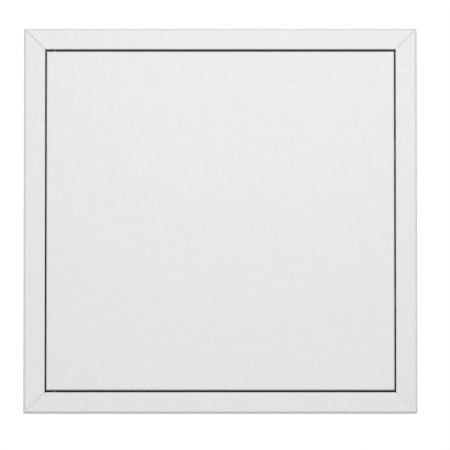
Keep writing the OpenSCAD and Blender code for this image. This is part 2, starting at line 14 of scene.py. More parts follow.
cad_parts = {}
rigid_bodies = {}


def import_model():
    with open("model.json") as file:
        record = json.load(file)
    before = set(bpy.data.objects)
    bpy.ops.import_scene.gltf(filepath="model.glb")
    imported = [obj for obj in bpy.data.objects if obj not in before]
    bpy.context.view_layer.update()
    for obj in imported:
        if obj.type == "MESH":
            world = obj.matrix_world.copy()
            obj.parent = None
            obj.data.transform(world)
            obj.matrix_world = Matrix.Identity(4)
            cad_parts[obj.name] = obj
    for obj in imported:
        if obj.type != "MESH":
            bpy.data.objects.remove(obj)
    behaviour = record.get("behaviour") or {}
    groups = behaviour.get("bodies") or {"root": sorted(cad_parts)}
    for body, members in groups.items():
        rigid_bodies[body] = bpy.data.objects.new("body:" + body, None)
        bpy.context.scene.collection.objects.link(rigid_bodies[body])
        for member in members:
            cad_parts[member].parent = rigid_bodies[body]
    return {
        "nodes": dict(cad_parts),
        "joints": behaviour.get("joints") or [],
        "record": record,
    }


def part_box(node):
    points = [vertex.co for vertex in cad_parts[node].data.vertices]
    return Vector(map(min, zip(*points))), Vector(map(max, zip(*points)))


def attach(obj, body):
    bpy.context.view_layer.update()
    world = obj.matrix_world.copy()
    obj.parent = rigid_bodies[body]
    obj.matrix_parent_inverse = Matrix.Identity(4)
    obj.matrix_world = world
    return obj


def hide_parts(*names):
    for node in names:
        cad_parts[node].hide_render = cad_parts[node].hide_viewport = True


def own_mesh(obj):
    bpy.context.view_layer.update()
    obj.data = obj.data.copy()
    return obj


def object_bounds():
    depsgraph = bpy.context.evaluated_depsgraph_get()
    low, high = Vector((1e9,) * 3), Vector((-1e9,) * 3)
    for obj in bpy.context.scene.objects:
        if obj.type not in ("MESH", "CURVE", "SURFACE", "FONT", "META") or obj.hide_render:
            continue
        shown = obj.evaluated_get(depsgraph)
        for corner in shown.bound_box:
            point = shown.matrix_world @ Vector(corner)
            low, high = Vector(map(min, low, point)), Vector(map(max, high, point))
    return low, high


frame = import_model()
CAD_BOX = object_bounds()
NODES = frame["nodes"]
JOINTS = {joint["name"]: joint for joint in frame["joints"]}
SLOTS = {part["node"]: part["material_slot"] for part in frame["record"]["subparts"]}

MM = 0.001
X_AXIS, Y_AXIS, Z_AXIS = range(3)
FACE_Y = CAD_BOX[0][Y_AXIS]
HALF_WIDE = CAD_BOX[1][X_AXIS]
INTO_VOID = (0, 1, 0)
LEVELS = ("upper", "lower")
ENDS = ("top", "bottom")
SIDES = ("top", "latch", "bottom", "hinge")
CORNERS = ("top_latch", "bottom_latch", "bottom_hinge", "top_hinge")


# Camera: a long lens from a little below, so that the panel looks a little lower than it is wide

PICTURE_PX = 450
PANEL_WIDE_PX = 393.4
PANEL_MIDDLE_PX = (219.9, 219.8)
VIEW_ELEVATION = math.radians(-12.2)
VIEW_DISTANCE = 25.0
VIEW_NEAR = 0.1
VIEW_FAR = 400.0
SENSOR_MM = 36.0


def place_camera():
    """Aim past the face's middle, so that the panel has its width and its place in the picture."""
    low, high = (Vector(corner) for corner in CAD_BOX)
    pixel = (high.x - low.x) / PANEL_WIDE_PX
    face = Vector(((low.x + high.x) / 2, low.y, (low.z + high.z) / 2))
    sine = math.sin(VIEW_ELEVATION)
    cosine = math.cos(VIEW_ELEVATION)
    right = Vector((1, 0, 0))
    up = Vector((0, sine, cosine))
    middle = (PICTURE_PX - 1) / 2
    aim = face + right * pixel * (middle - PANEL_MIDDLE_PX[0])
    aim -= up * pixel * (middle - PANEL_MIDDLE_PX[1])
    optics = bpy.data.cameras.new("camera")
    optics.sensor_width = SENSOR_MM
    optics.lens = SENSOR_MM * VIEW_DISTANCE / (pixel * PICTURE_PX)
    optics.clip_start = VIEW_NEAR
    optics.clip_end = VIEW_FAR
    camera = bpy.data.objects.new("camera", optics)
    camera.location = aim + Vector((0, -cosine, sine)) * VIEW_DISTANCE
    camera.rotation_euler = (math.pi / 2 - VIEW_ELEVATION, 0, 0)
    bpy.context.scene.collection.objects.link(camera)
    bpy.context.scene.camera = camera


# Node trees

# Sockets of a Mix node that mixes colours, by number because their names repeat
MIX_SHARE = 0
MIX_FIRST = 6
MIX_SECOND = 7
MIX_RESULT = 2

NOISE_MIDDLE = 0.5


def add(tree, kind, values=None, **settings):
    """A node of that kind. Values are numbers for its inputs, or sockets to link to them."""
    made = tree.nodes.new(kind)
    for name, value in settings.items():
        setattr(made, name, value)
    for socket, value in (values or {}).items():
        if isinstance(value, bpy.types.NodeSocket):
            tree.links.new(value, made.inputs[socket])
        else:
            made.inputs[socket].default_value = value
    return made


def math_node(tree, operation, first, second=0.0):
    return add(tree, "ShaderNodeMath", {0: first, 1: second}, operation=operation).outputs[0]


def plus_share(tree, start, value, share):
    """The start, plus a share of the value."""
    return math_node(tree, "ADD", start, math_node(tree, "MULTIPLY", value, share))


def ramp_between(tree, value, low, high, to_low, to_high):
    """Value between low and high, brought smoothly to the range from to_low to to_high."""
    made = add(
        tree,
        "ShaderNodeMapRange",
        {"Value": value, "From Min": low, "From Max": high, "To Min": to_low, "To Max": to_high},
        interpolation_type="SMOOTHSTEP",
    )
    return made.outputs["Result"]


def mix_colour(tree, share, first, second, blend="MIX"):
    values = {MIX_SHARE: share, MIX_FIRST: first, MIX_SECOND: second}
    return add(tree, "ShaderNodeMix", values, data_type="RGBA", blend_type=blend).outputs[MIX_RESULT]


def toned(tree, colour, change):
    """The colour, made paler or darker by a change about 0."""
    return mix_colour(tree, 1.0, colour, math_node(tree, "ADD", change, 1.0), "MULTIPLY")


def noise(tree, where, scale, detail=2.0, roughness=0.5):
    """Noise between 0 and 1. The scale is per metre."""
    made = add(
        tree,
        "ShaderNodeTexNoise",
        {"Vector": where, "Scale": scale, "Detail": detail, "Roughness": roughness},
    )
    return made.outputs["Fac"]


def swing(tree, where, scale, detail=2.0, roughness=0.5):
    """Noise about 0."""
    return math_node(tree, "SUBTRACT", noise(tree, where, scale, detail, roughness), NOISE_MIDDLE)


def split_place(tree, where):
    """The outputs X, Y and Z of a place or a direction."""
    return add(tree, "ShaderNodeSeparateXYZ", {0: where}).outputs


def off_middle(tree, spot):
    """How far a spot is from the panel's middle, along X and along Z."""
    return [math_node(tree, "ABSOLUTE", spot[axis]) for axis in "XZ"]


def new_group(name, inputs, outputs):
    """Empty shader group with the named sockets. Returns its tree, and what it takes in and gives out."""
    tree = bpy.data.node_groups.new(name, "ShaderNodeTree")
    for socket, kind in inputs.items():
        tree.interface.new_socket(socket, in_out="INPUT", socket_type=kind)
    for socket, kind in outputs.items():
        tree.interface.new_socket(socket, in_out="OUTPUT", socket_type=kind)
    return tree, tree.nodes.new("NodeGroupInput").outputs, tree.nodes.new("NodeGroupOutput").inputs


def give(tree, result, **values):
    """Link the group's results, given by their names in lower case."""
    for name, value in values.items():
        tree.links.new(value, result[name.capitalize()])


def opaque(red, green, blue):
    return (red, green, blue, 1.0)


FLOAT = "NodeSocketFloat"
COLOUR = "NodeSocketColor"
SURFACE = {"Colour": COLOUR, "Roughness": FLOAT, "Height": FLOAT}
WHITE = opaque(1.0, 1.0, 1.0)


# Powder coat: spray from the front with the door shut, over grey primer; down the gaps it fades to the
# primer, which there is painted shade

RIM_WIDE = 6 * MM
# Depths under the face over which the white thins to grey primer down the gap, as painted shade there
GAP_SHADE_FROM = 1.4 * MM
GAP_SHADE_FULL = 4.2 * MM
GAP_SHADE_UNEVEN = 1.6 * MM
GAP_SHADE_SCALE = 180.0
# The normal's Y at which the spray starts to thin, and at which none lands
SPRAY_TURN = (0.1, 0.6)
PRIMER_MIST = 0.30
PRIMER_MIST_SCALE = 14.0
PRIMER_DULLER = 0.18
CLOUD_FINE_SCALE = 300.0
CLOUD_BROAD_SCALE = 34.0
CLOUD_BROAD_SHARE = 0.25
CLOUD_DULLER = 0.12
PIT_SCALE = 900.0
PIT_RANGE = (0.62, 0.74)
PIT_DEPTH = 0.3
PEEL_SCALE = 420.0


def coat_share_with_gap_shade(tree, where):
    """Share of white coat over the primer: all on the face and the rim, none on the back, and less down the
    gap, where the fade to primer is painted shade.
    """
    spot = split_place(tree, where["Object"])
    reach = math_node(tree, "MAXIMUM", *off_middle(tree, spot))
    rim = math_node(tree, "GREATER_THAN", reach, HALF_WIDE - RIM_WIDE)
    uneven = swing(tree, where["Object"], GAP_SHADE_SCALE, detail=3.0)
    depth = plus_share(tree, spot["Y"], uneven, GAP_SHADE_UNEVEN)
    # Painted shade down the gap: the white fades to grey primer with depth under the face
    coat_above_gap_shade = ramp_between(tree, depth, FACE_Y + GAP_SHADE_FROM, FACE_Y + GAP_SHADE_FULL, 1.0, 0.0)
    front = ramp_between(tree, split_place(tree, where["Normal"])["Y"], *SPRAY_TURN, 1.0, 0.0)
    return math_node(tree, "MULTIPLY", front, math_node(tree, "MAXIMUM", coat_above_gap_shade, rim))


def orange_peel_group():
    """Sprayed and baked coat: cloudy tone, small pits and the long ripple of orange peel, over grey primer
    that also stands as painted shade down the gaps.
    """
    tree, given, result = new_group(
        "orange_peel",
        {"Colour": COLOUR, "Primer": COLOUR, "Cloud": FLOAT, "Pits": FLOAT, "Dullness": FLOAT},
        SURFACE,
    )
    coordinates = add(tree, "ShaderNodeTexCoord").outputs
    where = coordinates["Object"]
    # 1 for white coat, 0 where the primer shows: on the back, and down the gaps as painted shade
    coat_with_gap_shade = coat_share_with_gap_shade(tree, coordinates)
    mist = swing(tree, where, PRIMER_MIST_SCALE, detail=4.0, roughness=0.6)
    primer = toned(tree, given["Primer"], math_node(tree, "MULTIPLY", mist, PRIMER_MIST))
    coat = mix_colour(tree, coat_with_gap_shade, primer, given["Colour"])
    fine = swing(tree, where, CLOUD_FINE_SCALE, roughness=0.6)
    broad = swing(tree, where, CLOUD_BROAD_SCALE, detail=3.0, roughness=0.6)
    cloud = plus_share(tree, fine, broad, CLOUD_BROAD_SHARE)
    pits = ramp_between(tree, noise(tree, where, PIT_SCALE, detail=1.0), *PIT_RANGE, 0.0, 1.0)
    change = math_node(tree, "MULTIPLY", cloud, given["Cloud"])
    change = math_node(tree, "SUBTRACT", change, math_node(tree, "MULTIPLY", pits, given["Pits"]))
    dull = plus_share(tree, given["Dullness"], cloud, CLOUD_DULLER)
    dull = math_node(tree, "ADD", dull, ramp_between(tree, coat_with_gap_shade, 0.0, 1.0, PRIMER_DULLER, 0.0))
    peel = noise(tree, where, PEEL_SCALE, detail=1.0, roughness=0.4)
    height = math_node(tree, "SUBTRACT", peel, math_node(tree, "MULTIPLY", pits, PIT_DEPTH))
    give(tree, result, colour=toned(tree, coat, change), roughness=dull, height=height)
    return tree


# Zinc coat: flat crystals of different tone, with a soft bloom over them

CELL_WARP = 4 * MM
CELL_WARP_SCALE = 240.0
CELL_DULLER = 0.14
BLOOM_SCALE = 60.0
BLOOM_DULLER = 0.2
ZINC_GRAIN_SCALE = 1400.0


def zinc_spangle_group():
    """Crystals with uneven borders, each with its own tone and dullness."""
    tree, given, result = new_group(
        "zinc_spangle",
        {"Colour": COLOUR, "Cells": FLOAT, "Contrast": FLOAT, "Dullness": FLOAT},
        SURFACE,
    )
    where = add(tree, "ShaderNodeTexCoord").outputs["Object"]
    bend = add(tree, "ShaderNodeTexNoise", {"Vector": where, "Scale": CELL_WARP_SCALE})
    bend = bend.outputs["Color"]
    shift = add(tree, "ShaderNodeVectorMath", {0: bend, "Scale": CELL_WARP}, operation="SCALE")
    warped = add(tree, "ShaderNodeVectorMath", {0: where, 1: shift.outputs[0]}, operation="ADD")
    cells = add(tree, "ShaderNodeTexVoronoi", {"Vector": warped.outputs[0], "Scale": given["Cells"]})
    own = add(tree, "ShaderNodeSeparateColor", {"Color": cells.outputs["Color"]}).outputs
    tone = math_node(tree, "SUBTRACT", own["Red"], NOISE_MIDDLE)
    bloom = swing(tree, where, BLOOM_SCALE, detail=4.0, roughness=0.65)
    change = math_node(tree, "MULTIPLY", math_node(tree, "ADD", tone, bloom), given["Contrast"])
    dull = plus_share(tree, given["Dullness"], own["Green"], CELL_DULLER)
    dull = plus_share(tree, dull, bloom, BLOOM_DULLER)
    grain = noise(tree, where, ZINC_GRAIN_SCALE)
    give(tree, result, colour=toned(tree, given["Colour"], change), roughness=dull, height=grain)
    return tree


# Drawn and turned metal

DRAWN_STRETCH = (1.0, 1.0, 9.0)
DRAWN_SCALE = 900.0
DRAWN_DULLER = 0.3
STAIN_SCALE = 150.0


def drawn_lines_group():
    """Fine scratches that run round or along a drawn, turned or rolled piece, and faint stains."""
    tree, given, result = new_group(
        "drawn_lines",
        {"Colour": COLOUR, "Contrast": FLOAT, "Dullness": FLOAT},
        SURFACE,
    )
    where = add(tree, "ShaderNodeTexCoord").outputs["Object"]
    stretch = add(tree, "ShaderNodeMapping", {"Vector": where, "Scale": DRAWN_STRETCH}).outputs[0]
    lines = swing(tree, stretch, DRAWN_SCALE, detail=3.0, roughness=0.7)
    stain = swing(tree, where, STAIN_SCALE, detail=3.0, roughness=0.6)
    change = math_node(tree, "MULTIPLY", math_node(tree, "ADD", lines, stain), given["Contrast"])
    dull = plus_share(tree, given["Dullness"], lines, DRAWN_DULLER)
    give(tree, result, colour=toned(tree, given["Colour"], change), roughness=dull, height=lines)
    return tree


# Moulded plastic and foam

FLOW_SCALE = 120.0
FLOW_DULLER = 0.1
MOULD_GRAIN_SCALE = 2600.0


def moulded_grain_group():
    """Spark-eroded grain of a moulded surface, with a faint flow cloud."""
    tree, given, result = new_group(
        "moulded_grain",
        {"Colour": COLOUR, "Cloud": FLOAT, "Dullness": FLOAT},
        SURFACE,
    )
    where = add(tree, "ShaderNodeTexCoord").outputs["Object"]
    cloud = swing(tree, where, FLOW_SCALE, detail=3.0, roughness=0.6)
    change = math_node(tree, "MULTIPLY", cloud, given["Cloud"])
    dull = plus_share(tree, given["Dullness"], cloud, FLOW_DULLER)
    grain = noise(tree, where, MOULD_GRAIN_SCALE)
    give(tree, result, colour=toned(tree, given["Colour"], change), roughness=dull, height=grain)
    return tree


# Dust from the ceiling void

DUST_COLOUR = opaque(0.46, 0.44, 0.40)
# The normal's Y at which dust starts to lie, and at which it lies fully
DUST_TURN = (0.2, 0.95)
DUST_SCALE = 55.0
DUST_RANGE = (0.35, 0.7)
DUST_LEAST = 0.25
DUST_DULLER = 0.4


def void_dust_group():
    """Thin, patchy dust on what looks up into the void, towards +Y."""
    tree, given, result = new_group(
        "void_dust",
        {"Colour": COLOUR, "Roughness": FLOAT, "Amount": FLOAT},
        {"Colour": COLOUR, "Roughness": FLOAT},
    )
    where = add(tree, "ShaderNodeTexCoord").outputs
    lying = ramp_between(tree, split_place(tree, where["Normal"])["Y"], *DUST_TURN, 0.0, 1.0)
    patches = noise(tree, where["Object"], DUST_SCALE, detail=5.0, roughness=0.65)
    patches = ramp_between(tree, patches, *DUST_RANGE, DUST_LEAST, 1.0)
    share = math_node(tree, "MULTIPLY", math_node(tree, "MULTIPLY", lying, patches), given["Amount"])
    dusty = mix_colour(tree, share, given["Colour"], DUST_COLOUR)
    give(tree, result, colour=dusty, roughness=plus_share(tree, given["Roughness"], share, DUST_DULLER))
    return tree


# Mitres of the frame: they run along its diagonals, from the collar's corners to the rim

# How far in from the rim and off the diagonal the painted shade of the mitres lies, and its depths under
# the face
MITRE_RUN = 27 * MM
MITRE_STRIP = 0.5 * MM
MITRE_TOP = 0.15 * MM
MITRE_BOTTOM = 1.6 * MM
MITRE_SCALE = 260.0
MITRE_RANGE = (0.3, 0.7)
MITRE_LEAST = 0.6
# Painted shade in the mitres: pale as the coat where it fades out, near black where it is strongest
MITRE_UNSHADED_COLOUR = opaque(0.80, 0.80, 0.79)
MITRE_SHADE_COLOUR = opaque(0.10, 0.10, 0.095)
# The share of painted shade in the panel's middle, and how it grows per metre along X, Y and Z
MITRE_SHADE_SHARE = 0.5
MITRE_SHADE_LEAN = (-0.68, 0.0, 1.3)


def mitre_share(tree, where):
    """1 in the mitres: on their butting faces, and on what lies right behind them."""
    spot = split_place(tree, where)
    out = off_middle(tree, spot)
    off_line = math_node(tree, "ABSOLUTE", math_node(tree, "SUBTRACT", *out))
    on_line = math_node(tree, "LESS_THAN", off_line, MITRE_STRIP)
    on_frame = math_node(tree, "GREATER_THAN", math_node(tree, "MAXIMUM", *out), HALF_WIDE - MITRE_RUN)
    under_top = math_node(tree, "GREATER_THAN", spot["Y"], FACE_Y + MITRE_TOP)
    over_bottom = math_node(tree, "LESS_THAN", spot["Y"], FACE_Y + MITRE_BOTTOM)
    share = math_node(tree, "MULTIPLY", on_line, on_frame)
    return math_node(tree, "MULTIPLY", share, math_node(tree, "MULTIPLY", under_top, over_bottom))


def mitre_painted_shade_group():
    """Painted shade in the mitres: dark towards the upper hinge corner, fading to the coat's pale colour
    towards the lower latch one.
    """
    tree, given, result = new_group(
        "mitre_painted_shade",
        {"Colour": COLOUR, "Amount": FLOAT},
        {"Colour": COLOUR},
    )
    where = add(tree, "ShaderNodeTexCoord").outputs["Object"]
    # Painted shade, stronger towards the upper hinge corner and weaker towards the lower latch one
    lean = add(tree, "ShaderNodeVectorMath", {0: where, 1: MITRE_SHADE_LEAN}, operation="DOT_PRODUCT")
    shade_share = math_node(tree, "ADD", lean.outputs["Value"], MITRE_SHADE_SHARE)
    mitre_shade_colour = mix_colour(tree, shade_share, MITRE_UNSHADED_COLOUR, MITRE_SHADE_COLOUR)
    uneven = ramp_between(tree, noise(tree, where, MITRE_SCALE, detail=3.0), *MITRE_RANGE, MITRE_LEAST, 1.0)
    share = math_node(tree, "MULTIPLY", mitre_share(tree, where), uneven)
    share = math_node(tree, "MULTIPLY", share, given["Amount"])
    give(tree, result, colour=mix_colour(tree, share, given["Colour"], mitre_shade_colour))
    return tree


GROUPS = {
    "orange_peel": orange_peel_group(),
    "zinc_spangle": zinc_spangle_group(),
    "drawn_lines": drawn_lines_group(),
    "moulded_grain": moulded_grain_group(),
    "void_dust": void_dust_group(),
    "mitre_painted_shade": mitre_painted_shade_group(),
}


def place_group(tree, name, **values):
    """Outputs of one of the shared groups, with its inputs given by their names in lower case."""
    inputs = {key.capitalize(): value for key, value in values.items()}
    return add(tree, "ShaderNodeGroup", inputs, node_tree=GROUPS[name]).outputs


def finished_material(name, texture, shader, dust, bump_mm, bump_share, mitres=0.0, **values):
    """Principled material of one texture group, with dust and the painted shade of the mitres over it."""
    material = bpy.data.materials.new(name)
    material.use_nodes = True
    tree = material.node_tree
    tree.nodes.clear()
    surface = place_group(tree, texture, **values)
    worn = place_group(
        tree, "void_dust", colour=surface["Colour"], roughness=surface["Roughness"], amount=dust
    )
    colour = worn["Colour"]
    # Painted shade in the mitres
    if mitres:
        colour = place_group(tree, "mitre_painted_shade", colour=colour, amount=mitres)["Colour"]
    bump = add(
        tree,
        "ShaderNodeBump",
        {"Height": surface["Height"], "Distance": bump_mm * MM, "Strength": bump_share},
    )
    normal = bump.outputs["Normal"]
    inputs = {"Base Color": colour, "Roughness": worn["Roughness"], "Normal": normal, **shader}
    base = add(tree, "ShaderNodeBsdfPrincipled", inputs)
    add(tree, "ShaderNodeOutputMaterial", {"Surface": base.outputs["BSDF"]})
    return material


# Finishes, one for each slot of the record

METAL = {"Metallic": 1.0}
GLOSSY = {"Specular IOR Level": 0.5}
MATT = {"Specular IOR Level": 0.2}

FINISHES = {
    "powder_coat": dict(
        # mitres: the share of painted shade in the mitres
        texture="orange_peel", shader=GLOSSY, dust=0.10, bump_mm=0.05, bump_share=0.18, mitres=0.65,
        # The primer shows on the back, and stands as painted shade down the gaps
        colour=opaque(0.80, 0.802, 0.788), primer=opaque(0.33, 0.335, 0.34),
        cloud=0.14, pits=0.02, dullness=0.42,
    ),
    "zinc_steel": dict(
        # mitres: painted shade on the cleats seen through the mitres
        texture="zinc_spangle", shader=METAL, dust=0.25, bump_mm=0.02, bump_share=0.15, mitres=0.65,
        colour=opaque(0.44, 0.45, 0.46), cells=150.0, contrast=0.22, dullness=0.48,
    ),
    "black_steel": dict(
        texture="drawn_lines", shader=METAL, dust=0.08, bump_mm=0.02, bump_share=0.15,
        colour=opaque(0.07, 0.07, 0.072), contrast=0.5, dullness=0.32,
    ),
    "spring_steel": dict(
        texture="drawn_lines", shader=METAL, dust=0.08, bump_mm=0.02, bump_share=0.2,
        colour=opaque(0.30, 0.30, 0.31), contrast=0.3, dullness=0.3,
    ),
    "rivet_aluminium": dict(
        texture="drawn_lines", shader=METAL, dust=0.15, bump_mm=0.02, bump_share=0.15,
        colour=opaque(0.74, 0.74, 0.74), contrast=0.12, dullness=0.34,
    ),
    "latch_plastic": dict(
        texture="moulded_grain", shader=GLOSSY, dust=0.22, bump_mm=0.03, bump_share=0.2,
        colour=opaque(0.54, 0.54, 0.525), cloud=0.06, dullness=0.46,
    ),
    "plunger_plastic": dict(
        texture="moulded_grain", shader=GLOSSY, dust=0.05, bump_mm=0.02, bump_share=0.15,
        colour=opaque(0.30, 0.31, 0.32), cloud=0.10, dullness=0.34,
    ),
    "magnet_nickel": dict(
        texture="drawn_lines", shader=METAL, dust=0.05, bump_mm=0.01, bump_share=0.1,
        colour=opaque(0.36, 0.35, 0.33), contrast=0.10, dullness=0.44,
    ),
    "seal_foam": dict(
        texture="moulded_grain", shader=MATT, dust=0.04, bump_mm=0.25, bump_share=0.9,
        colour=opaque(0.012, 0.012, 0.013), cloud=0.5, dullness=0.85,
    ),
}
MATERIALS = {name: finished_material(name, **finish) for name, finish in FINISHES.items()}


def dress_nodes():
    for name, node in NODES.items():
        node.data.materials.clear()
        node.data.materials.append(MATERIALS[SLOTS[name]])


# Pieces

SAME_POINT = 0.01 * MM
SORT_DIGITS = 5


def new_piece(name, points, faces, slot, body):
    mesh = bpy.data.meshes.new(name)
    mesh.from_pydata(points, [], faces)
    mesh.validate()
    mesh.polygons.foreach_set("use_smooth", [True] * len(mesh.polygons))
    mesh.materials.append(MATERIALS[slot])
    piece = bpy.data.objects.new(name, mesh)
    bpy.context.scene.collection.objects.link(piece)
    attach(piece, body)
    return piece


def joined(forms):
    """Points and faces of several forms as one."""
    points = []
    faces = []
    for form_points, form_faces in forms:
        faces += [tuple(len(points) + i for i in face) for face in form_faces]
        points += form_points
    return points, faces


def tube_faces(rings, sides):
    """Faces of a tube, closed at both ends, whose rings of points follow one another."""
    faces = []
    for ring in range(rings - 1):
        base = ring * sides
        ahead = base + sides
        for side in range(sides):
            after = (side + 1) % sides
            faces.append((base + side, base + after, ahead + after, ahead + side))
    faces.append(tuple(reversed(range(sides))))
    faces.append(tuple(range((rings - 1) * sides, rings * sides)))
    return faces


def solids_of(node):
    """Boxes (low, high) of the separate solids in a node."""
    shape = bmesh.new()
    shape.from_mesh(NODES[node].data)
    bmesh.ops.remove_doubles(shape, verts=shape.verts, dist=SAME_POINT)
    left = set(shape.verts)
    boxes = []
    while left:
        reached = [left.pop()]
        points = []
        while reached:
            vertex = reached.pop()
            points.append(vertex.co.copy())
            for edge in vertex.link_edges:
                other = edge.other_vert(vertex)
                if other in left:
                    left.remove(other)
                    reached.append(other)
        low = Vector(min(p[i] for p in points) for i in range(3))
        high = Vector(max(p[i] for p in points) for i in range(3))
        boxes.append((low, high))
    shape.free()
    return sorted(boxes, key=lambda box: tuple(round(v, SORT_DIGITS) for v in box[0]))


# Foam seals: strips with soft edges and a slightly uneven skin

FOAM_SHRINK = 0.12 * MM
FOAM_EDGE = 1.3 * MM
FOAM_EDGES_IN_SIDE = 3
FOAM_HOLLOWS_IN_EDGE = 6
FOAM_SKIN = 0.10 * MM
FOAM_STEP = 6 * MM
FOAM_ARC = 4
FOAM_SEED = 7


def foam_outline(wide, deep):
    """Rounded rectangle whose sides stand a little hollow, as points about its middle."""
    edge = min(FOAM_EDGE, wide / FOAM_EDGES_IN_SIDE, deep / FOAM_EDGES_IN_SIDE)
    hollow = edge / FOAM_HOLLOWS_IN_EDGE
    points = []
    for turn, (across, along) in enumerate(((1, 1), (-1, 1), (-1, -1), (1, -1))):
        middle = Vector((across * (wide / 2 - edge), along * (deep / 2 - edge)))
        for step in range(FOAM_ARC + 1):
            angle = math.pi / 2 * (turn + step / FOAM_ARC)
            points.append(middle + edge * Vector((math.cos(angle), math.sin(angle))))
        side = ((0, 1), (-1, 0), (0, -1), (1, 0))[turn]
        reach = (deep if side[0] == 0 else wide) / 2 - hollow
        points.append(Vector(side) * reach)
    return points


def foam_strip(low, high, draw):
    """Points and faces of one strip that fills the box between low and high."""
    size = high - low
    run = max((X_AXIS, Z_AXIS), key=lambda axis: size[axis])
    wide_axis = Z_AXIS - run
    middle = (low + high) / 2
    outline = foam_outline(size[wide_axis] - 2 * FOAM_SHRINK, size.y - 2 * FOAM_SHRINK)
    count = max(2, round(size[run] / FOAM_STEP))
    points = []
    for station in range(count + 1):
        along = low[run] + FOAM_SHRINK + (size[run] - 2 * FOAM_SHRINK) * station / count
        for across, deep in outline:
            point = middle.copy()
            point[run] = along
            inwards = 1 - draw.random() * FOAM_SKIN / max(abs(across), abs(deep))
            point[wide_axis] += across * inwards
            point.y += deep * inwards
            points.append(point)
    faces = tube_faces(count + 1, len(outline))
    if run == X_AXIS:
        faces = [tuple(reversed(face)) for face in faces]
    return points, faces


def make_seals():
    draw = random.Random(FOAM_SEED)
    for side in SIDES:
        node = f"seal_{side}"
        points, faces = joined(foam_strip(low, high, draw) for low, high in solids_of(node))
        piece = new_piece(f"foam_{side}", points, faces, "seal_foam", "frame")
        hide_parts(node)


# Springs: round wire with closed, ground ends

COIL_SIDES = 10
COIL_STEPS = 28
CLOSED_PITCH = 1.05
GROUND_SHARE = 0.15
PIN_SPRING_WIRE = 0.9 * MM
PIN_SPRING_TURNS = 9
LATCH_SPRING_WIRE = 0.7 * MM
LATCH_SPRING_TURNS = 11


def coil_rise(turn, turns, wire, length):
    """Height of the wire's middle at a turn: the first and the last turn lie closed, the others evenly."""
    closed = CLOSED_PITCH * wire
    first = wire / 2 + closed
    if turn < 1:
        return wire / 2 + closed * turn
    if turn > turns - 1:
        return length - wire / 2 - closed * (turns - turn)
    return first + (length - 2 * first) * (turn - 1) / (turns - 2)


def coil(radius, wire, length, turns):
    """Points and faces of a spring that stands on z = 0."""
    count = turns * COIL_STEPS
    ground = GROUND_SHARE * wire
    points = []
    faces = []
    for step in range(count + 1):
        around = 2 * math.pi * step / COIL_STEPS
        rise = coil_rise(step / COIL_STEPS, turns, wire, length)
        for side in range(COIL_SIDES):
            angle = 2 * math.pi * side / COIL_SIDES
            reach = radius + wire / 2 * math.cos(angle)
            high = min(max(rise + wire / 2 * math.sin(angle), ground), length - ground)
            points.append(Vector((reach * math.cos(around), reach * math.sin(around), high)))
    for step in range(count):
        base = step * COIL_SIDES
        ahead = base + COIL_SIDES
        for side in range(COIL_SIDES):
            after = (side + 1) % COIL_SIDES
            faces.append((base + side, ahead + side, ahead + after, base + after))
    faces.append(tuple(range(COIL_SIDES)))
    faces.append(tuple(count * COIL_SIDES + side for side in reversed(range(COIL_SIDES))))
    return points, faces


def make_spring(node, name, joint, wire, turns, along, fixed_low):
    """Spring in the place of a node, on the parent body of its joint."""
    low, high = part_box(node)
    size = high - low
    points, faces = coil(size.x / 2 - wire / 2, wire, size[along], turns)
    start = (low + high) / 2
    start[along] = low[along]
    stand = Matrix.Translation(start)
    if along == Y_AXIS:
        stand @= Matrix.Rotation(-math.pi / 2, 4, "X")
    piece = new_piece(name, [stand @ p for p in points], faces, "spring_steel", JOINTS[joint]["parent"])
    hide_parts(node)
    anchor = start.copy()
    anchor[along] = low[along] if fixed_low else high[along]
    axis = Vector((0, 0, 0))
    axis[along] = 1
    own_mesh(piece)


def make_springs():
    for end in ENDS:
        make_spring(
            f"hinge_spring_{end}", f"pin_coil_{end}", f"{end}_pin_draw",
            PIN_SPRING_WIRE, PIN_SPRING_TURNS, along=Z_AXIS, fixed_low=end == "top",
        )
    for level in LEVELS:
        make_spring(
            f"latch_spring_{level}", f"latch_coil_{level}", f"{level}_latch_press",
            LATCH_SPRING_WIRE, LATCH_SPRING_TURNS, along=Y_AXIS, fixed_low=False,
        )


# Small turned forms, set in many places

TURNED_SIDES = 20


def turned(profile):
    """Points and faces of (radius, height) turned about Z, closed at both ends of the profile."""
    points = []
    for radius, height in profile:
        for step in range(TURNED_SIDES):
            angle = 2 * math.pi * step / TURNED_SIDES
            points.append(Vector((radius * math.cos(angle), radius * math.sin(angle), height)))
    return points, tube_faces(len(profile), TURNED_SIDES)


def stood_on(place, direction):
    """Matrix that stands a turned form on a place, with its +Z along a direction."""
    turn = Vector((0, 0, 1)).rotation_difference(Vector(direction)).to_matrix().to_4x4()
    return Matrix.Translation(place) @ turn


def set_out(name, form, places, slot, body):
    """One piece made of a copy of the form at each place."""
    form_points, form_faces = form
    points, faces = joined(([place @ p for p in form_points], form_faces) for place in places)
    new_piece(name, points, faces, slot, body)


# Spot welds: a pressed ring with a shallow dish in it

WELD_R = 2.4 * MM
WELD_PROFILE = [
    (WELD_R, -0.05 * MM), (WELD_R, 0.02 * MM), (0.92 * WELD_R, 0.10 * MM), (0.80 * WELD_R, 0.12 * MM),
    (0.66 * WELD_R, 0.05 * MM), (0.4 * WELD_R, 0.03 * MM), (0.1 * WELD_R, 0.03 * MM),
]
WELD_PITCH = 72 * MM
THIN_SHEET = 1.0 * MM
BRACKET_PLATE = 1.5 * MM
STIFFENER_EDGE = 6.5 * MM
STIFFENER_END = 18 * MM
STRIKE_END = 4.2 * MM
BRACKET_WELDS = (8 * MM, 18 * MM)
CLEAT_WIDE = 22 * MM
CLEAT_WELDS = (0.62, 0.86)
STOP_EDGE = 3.6 * MM
STOP_END = 26 * MM


